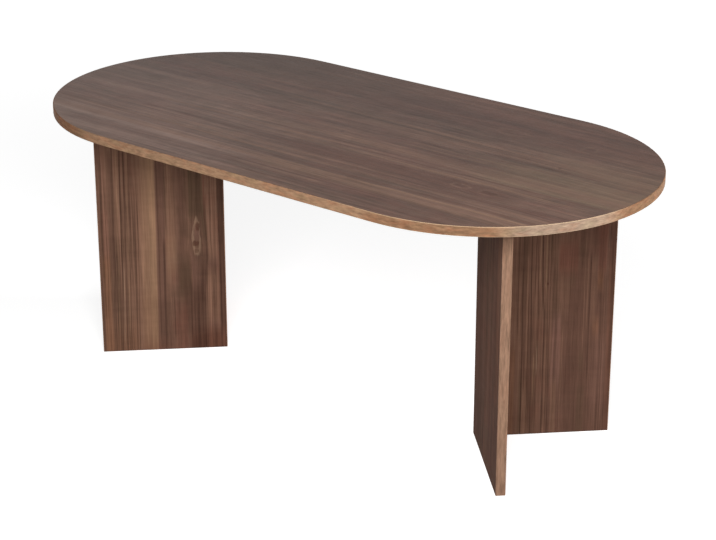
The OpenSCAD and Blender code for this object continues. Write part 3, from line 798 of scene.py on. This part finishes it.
# The right leg's rear board: across from its corner, and along from the floor
RIGHT_REAR_STREAKS = (
    # Broad changes of tone
    Streak(0.240, 0.325, 0.015, 0.17, None, RUST, 0.15),
    Streak(0.160, 0.240, 0.015, None, 0.17, PINK, 0.12),
    Streak(0.262, 0.292, 0.006, None, 0.24, DEEP, 0.35),
    # Painted light: the board's top is made paler, against the shade of the table's top
    Streak(0.130, 0.260, 0.010, 0.44, None, LIGHT, 0.3),
    Streak(0.300, 0.325, 0.006, 0.16, 0.45, DARK, 0.6),
    Streak(0.084, 0.113, 0.004, 0.10, 0.45, LIGHT, 0.35),
    Streak(0.112, 0.135, 0.005, None, 0.15, LIGHT, 0.5),
    Streak(0.084, 0.195, 0.010, None, None, LIGHT, 0.3),
    Streak(0.225, 0.350, 0.020, None, 0.44, DARK, 0.8),
    # Stripes and lines, most of them from the corner to the open end
    Streak(0.088, 0.100, 0.003, None, 0.25, ORANGE, 0.48),
    Streak(0.101, 0.112, 0.003, 0.10, 0.42, MIDDLE, 0.48),
    Streak(0.1078, 0.1117, 0.001, 0.10, 0.42, LIGHT, 0.63),
    Streak(0.111, 0.121, 0.003, None, 0.17, OLIVE, 0.45),
    Streak(0.1176, 0.1209, 0.001, None, None, INK, 0.57, -0.006),
    Streak(0.116, 0.131, 0.004, 0.505, None, OLIVE, 0.48),
    Streak(0.123, 0.129, 0.002, 0.42, 0.47, OLIVE, 0.28),
    Streak(0.1272, 0.1308, 0.001, 0.20, 0.50, LIGHT, 0.84),
    Streak(0.1307, 0.1343, 0.001, None, 0.11, LIGHT, 0.84),
    Streak(0.1436, 0.1469, 0.001, None, None, INK, 0.63, -0.016),
    Streak(0.1515, 0.1540, 0.001, None, 0.50, LIGHT, 0.63),
    Streak(0.1560, 0.1585, 0.001, 0.18, 0.25, PALE, 0.67),
    Streak(0.1589, 0.1611, 0.001, 0.33, 0.60, DEEP, 0.63, -0.03),
    Streak(0.1594, 0.1616, 0.001, 0.42, 0.60, TAN, 0.53),
    Streak(0.1649, 0.1671, 0.001, 0.20, 0.42, LIGHT, 0.63),
    Streak(0.1726, 0.1759, 0.001, None, 0.36, INK, 0.57),
    Streak(0.1691, 0.1724, 0.001, 0.36, 0.65, INK, 0.73, -0.033),
    Streak(0.1786, 0.1819, 0.001, None, 0.40, LIGHT, 0.73),
    Streak(0.1771, 0.1799, 0.001, 0.40, 0.65, TAN, 0.63, -0.02),
    Streak(0.1866, 0.1899, 0.001, None, None, INK, 0.53),
    Streak(0.182, 0.193, 0.003, 0.50, None, OLIVE, 0.39),
    Streak(0.190, 0.240, 0.004, 0.345, 0.432, LIGHT, 0.28),
    Streak(0.194, 0.218, 0.005, 0.135, 0.34, PINK, 0.5),
    Streak(0.197, 0.211, 0.003, None, 0.145, LIGHT, 0.64),
    Streak(0.209, 0.258, 0.004, 0.455, 0.54, RED, 0.6),
    Streak(0.238, 0.252, 0.003, 0.415, 0.455, OLIVE, 0.34),
    Streak(0.2476, 0.2504, 0.001, 0.20, 0.37, DEEP, 0.38, 0.03),
    Streak(0.267, 0.287, 0.004, None, 0.138, OLIVE, 0.39),
    Streak(0.268, 0.282, 0.004, 0.18, 0.235, OLIVE, 0.39),
    Streak(0.2837, 0.2873, 0.001, 0.30, 0.50, LIGHT, 0.38),
    Streak(0.2902, 0.2938, 0.001, 0.16, 0.50, INK, 0.5),
    Streak(0.300, 0.342, 0.008, 0.06, 0.25, PINK, 0.18),
    Streak(0.302, 0.318, 0.004, 0.28, 0.32, ORANGE, 0.45),
    Streak(0.311, 0.325, 0.003, 0.41, 0.455, ORANGE, 0.64),
    Streak(0.312, 0.332, 0.004, 0.455, 0.60, RED, 0.52),
    Streak(0.340, 0.370, 0.004, None, None, RUST, 0.48),
    # More of them, over those above
    Streak(0.1035, 0.1055, 0.001, 0.30, None, DEEP, 0.84),
    Streak(0.0965, 0.0985, 0.001, 0.25, None, LIGHT, 0.84),
    Streak(0.1320, 0.1340, 0.001, None, 0.40, DEEP, 0.84),
    Streak(0.1270, 0.1290, 0.001, None, 0.22, LIGHT, 0.98),
    Streak(0.1480, 0.1500, 0.001, 0.40, None, DEEP, 0.7),
    Streak(0.1480, 0.1510, 0.001, 0.10, 0.22, TAN, 0.63),
    Streak(0.1230, 0.1250, 0.001, 0.12, 0.22, DEEP, 0.84),
    Streak(0.2200, 0.2220, 0.001, None, 0.30, LIGHT, 0.45, 0.01),
    Streak(0.2330, 0.2350, 0.001, 0.10, 0.55, DEEP, 0.4, 0.02),
    Streak(0.2600, 0.2620, 0.001, None, 0.45, DEEP, 0.45),
    Streak(0.2760, 0.2780, 0.001, 0.24, 0.55, LIGHT, 0.4),
    Streak(0.3270, 0.3290, 0.001, None, 0.40, DEEP, 0.4),
    Streak(0.296, 0.308, 0.003, 0.30, 0.50, LIGHT, 0.3),
    Streak(0.112, 0.160, 0.006, 0.45, None, DARK, 0.35),
)

RIGHT_REAR_KNOTS = (
    Knot(0.182, 0.425, 0.003, 0.006, 0.6, 0.0, 0.9),
)

# The legs' boards stand at 45 degrees to the table's length, so a step along one is so much of it each way
SLANT = math.sqrt(0.5)

# An axis of a board is a direction and what is added to the distance along it, so that it starts where it
# should: on the floor, or at the corner of a leg
UP = ((0, 0, 1), 0.0)
AT_CORNER = -LEG_CORNER_X * SLANT


def from_other_end(axis, length):
    """The same axis, counted back from its other end."""
    direction, added = axis
    return tuple(-part for part in direction), length - added


def dress_top():
    dress("tabletop_board", walnut(
        "walnut_top", across=((0, 1, 0), 0.0), along=((1, 0, 0), 0.0), depth=((0, 0, -1), TABLE_HEIGHT),
        look=TOP_LOOK, streaks=TOP_STREAKS, knots=TOP_KNOTS))
    dress("tabletop_edge_band", tan_band(TOP_BAND))


def dress_right_leg():
    """The photograph shows the front board's outer face and the rear board's inner one."""
    from_corner_front = ((SLANT, -SLANT, 0), AT_CORNER)
    from_corner_rear = ((SLANT, SLANT, 0), AT_CORNER)
    dress("right_leg_front_panel", walnut(
        "walnut_right_front", across=from_corner_front, along=UP, depth=from_corner_rear,
        look=RIGHT_FRONT_SHADED_LOOK, streaks=RIGHT_FRONT_STREAKS))
    dress("right_leg_rear_panel", walnut(
        "walnut_right_rear", across=from_corner_rear, along=UP,
        depth=from_other_end(from_corner_front, BOARD_T),
        look=RIGHT_REAR_LOOK, streaks=RIGHT_REAR_STREAKS, knots=RIGHT_REAR_KNOTS))


def dress_left_leg():
    """The photograph shows the front board's outer face, and the rear board is behind it."""
    from_corner_front = ((-SLANT, -SLANT, 0), AT_CORNER)
    from_corner_rear = ((-SLANT, SLANT, 0), AT_CORNER)
    dress("left_leg_front_panel", walnut(
        "walnut_left_front", across=from_other_end(from_corner_front, LEG_WIDTH), along=UP,
        depth=from_corner_rear,
        look=LEFT_FRONT_LOOK, streaks=LEFT_FRONT_STREAKS, knots=LEFT_FRONT_KNOTS))
    dress("left_leg_rear_panel", walnut(
        "walnut_left_rear", across=from_corner_rear, along=UP, depth=from_corner_front,
        look=LEFT_REAR_LOOK))


def dress_small_parts():
    """The legs' bands and fittings."""
    leg_band = tan_band(LEG_BAND)
    dark_band = plain(DARK_BAND)
    fittings = {
        "_cams": plain(CAM_ZINC),
        "_cam_bolts": plain(BOLT_STEEL),
        "_cam_caps": plain(CAP_PLASTIC),
        "_dowels": plain(DOWEL_BEECH),
    }
    for leg in ("right_leg_", "left_leg_"):
        for band in ("front_panel_end_band", "front_panel_corner_band", "rear_panel_end_band"):
            dress(leg + band, leg_band)
        for band in ("front_panel_bottom_band", "rear_panel_bottom_band"):
            dress(leg + band, dark_band)
        for place in ("corner", "top"):
            for fitting, material in fittings.items():
                dress(leg + place + fitting, material)


def seen_plainly(made):
    """1 where the camera sees a surface itself, in gloss or through glass, 0 where it only gives light."""
    path = made.add("ShaderNodeLightPath").outputs
    seen = made.maths("MAXIMUM", path["Is Camera Ray"], path["Is Glossy Ray"])
    return made.maths("MAXIMUM", seen, path["Is Transmission Ray"])


def make_world():
    """The sky: a little even light on the table, and plain white where it is seen."""
    world = bpy.data.worlds.new("studio")
    world.use_nodes = True
    world.node_tree.nodes.clear()
    made = Nodes(world.node_tree)
    strength = made.remap(seen_plainly(made), 0, 1, SKY_LIGHT, 1.0)
    background = made.add("ShaderNodeBackground", {"Color": WHITE, "Strength": strength})
    output = made.add("ShaderNodeOutputWorld")
    made.feed(output.inputs["Surface"], background.outputs[0])
    bpy.context.scene.world = world


def floor_material():
    """A matt white that keeps the table's shadow, with a glow added where it is seen."""
    material = bpy.data.materials.new("floor_white")
    material.use_nodes = True
    material.node_tree.nodes.clear()
    made = Nodes(material.node_tree)
    matt = made.add("ShaderNodeBsdfDiffuse", {"Color": srgb(*FLOOR_COLOUR)})
    away = made.add("ShaderNodeVectorMath", operation="LENGTH")
    made.feed(away.inputs[0], made.add("ShaderNodeTexCoord").outputs["Object"])
    level = made.ease(away.outputs["Value"], FLOOR_PLAIN_FROM, FLOOR_PLAIN_TO, FLOOR_GLOW, 1.0)
    strength = made.maths("MULTIPLY", seen_plainly(made), level)
    glow = made.add("ShaderNodeEmission", {"Color": WHITE, "Strength": strength})
    both = made.add("ShaderNodeAddShader")
    made.feed(both.inputs[0], matt.outputs[0])
    made.feed(both.inputs[1], glow.outputs[0])
    output = made.add("ShaderNodeOutputMaterial")
    made.feed(output.inputs["Surface"], both.outputs[0])
    return material


def make_floor():
    mesh = bpy.data.meshes.new("floor")
    corners = [(x * FLOOR_HALF, y * FLOOR_HALF, 0) for x, y in ((-1, -1), (1, -1), (1, 1), (-1, 1))]
    mesh.from_pydata(corners, [], [(0, 1, 2, 3)])
    mesh.materials.append(floor_material())
    floor = bpy.data.objects.new("floor", mesh)
    bpy.context.scene.collection.objects.link(floor)


def make_light(light):
    """A rectangular lamp that faces the table."""
    azimuth = math.radians(light.azimuth)
    elevation = math.radians(light.elevation)
    level = math.cos(elevation)
    direction = Vector((level * math.cos(azimuth), level * math.sin(azimuth), math.sin(elevation)))
    data = bpy.data.lights.new(light.name, "AREA")
    data.shape = "RECTANGLE"
    data.size = light.width
    data.size_y = light.height
    data.energy = light.power
    lamp = bpy.data.objects.new(light.name, data)
    lamp.location = Vector(LIGHT_AIM) + direction * light.distance
    lamp.visible_camera = False
    lamp.rotation_euler = direction.to_track_quat("Z", "Y").to_euler()
    bpy.context.scene.collection.objects.link(lamp)


def make_camera():
    data = bpy.data.cameras.new("camera")
    data.sensor_width = SENSOR_WIDTH
    data.lens = CAMERA_LENS
    data.clip_end = CAMERA_REACH
    camera = bpy.data.objects.new("camera", data)
    yaw = math.radians(CAMERA_YAW)
    pitch = math.radians(CAMERA_PITCH)
    level = math.cos(pitch)
    forward = Vector((math.sin(yaw) * level, math.cos(yaw) * level, -math.sin(pitch)))
    camera.location = CAMERA_PLACE
    turned = forward.to_track_quat("-Z", "Y")
    roll = Euler((0, 0, math.radians(CAMERA_ROLL))).to_quaternion()
    camera.rotation_euler = (turned @ roll).to_euler()
    bpy.context.scene.collection.objects.link(camera)
    bpy.context.scene.camera = camera


make_camera()
make_world()
make_floor()
for light in LIGHTS:
    make_light(light)
dress_top()
dress_right_leg()
dress_left_leg()
dress_small_parts()
bpy.context.scene.view_settings.view_transform = "Standard"
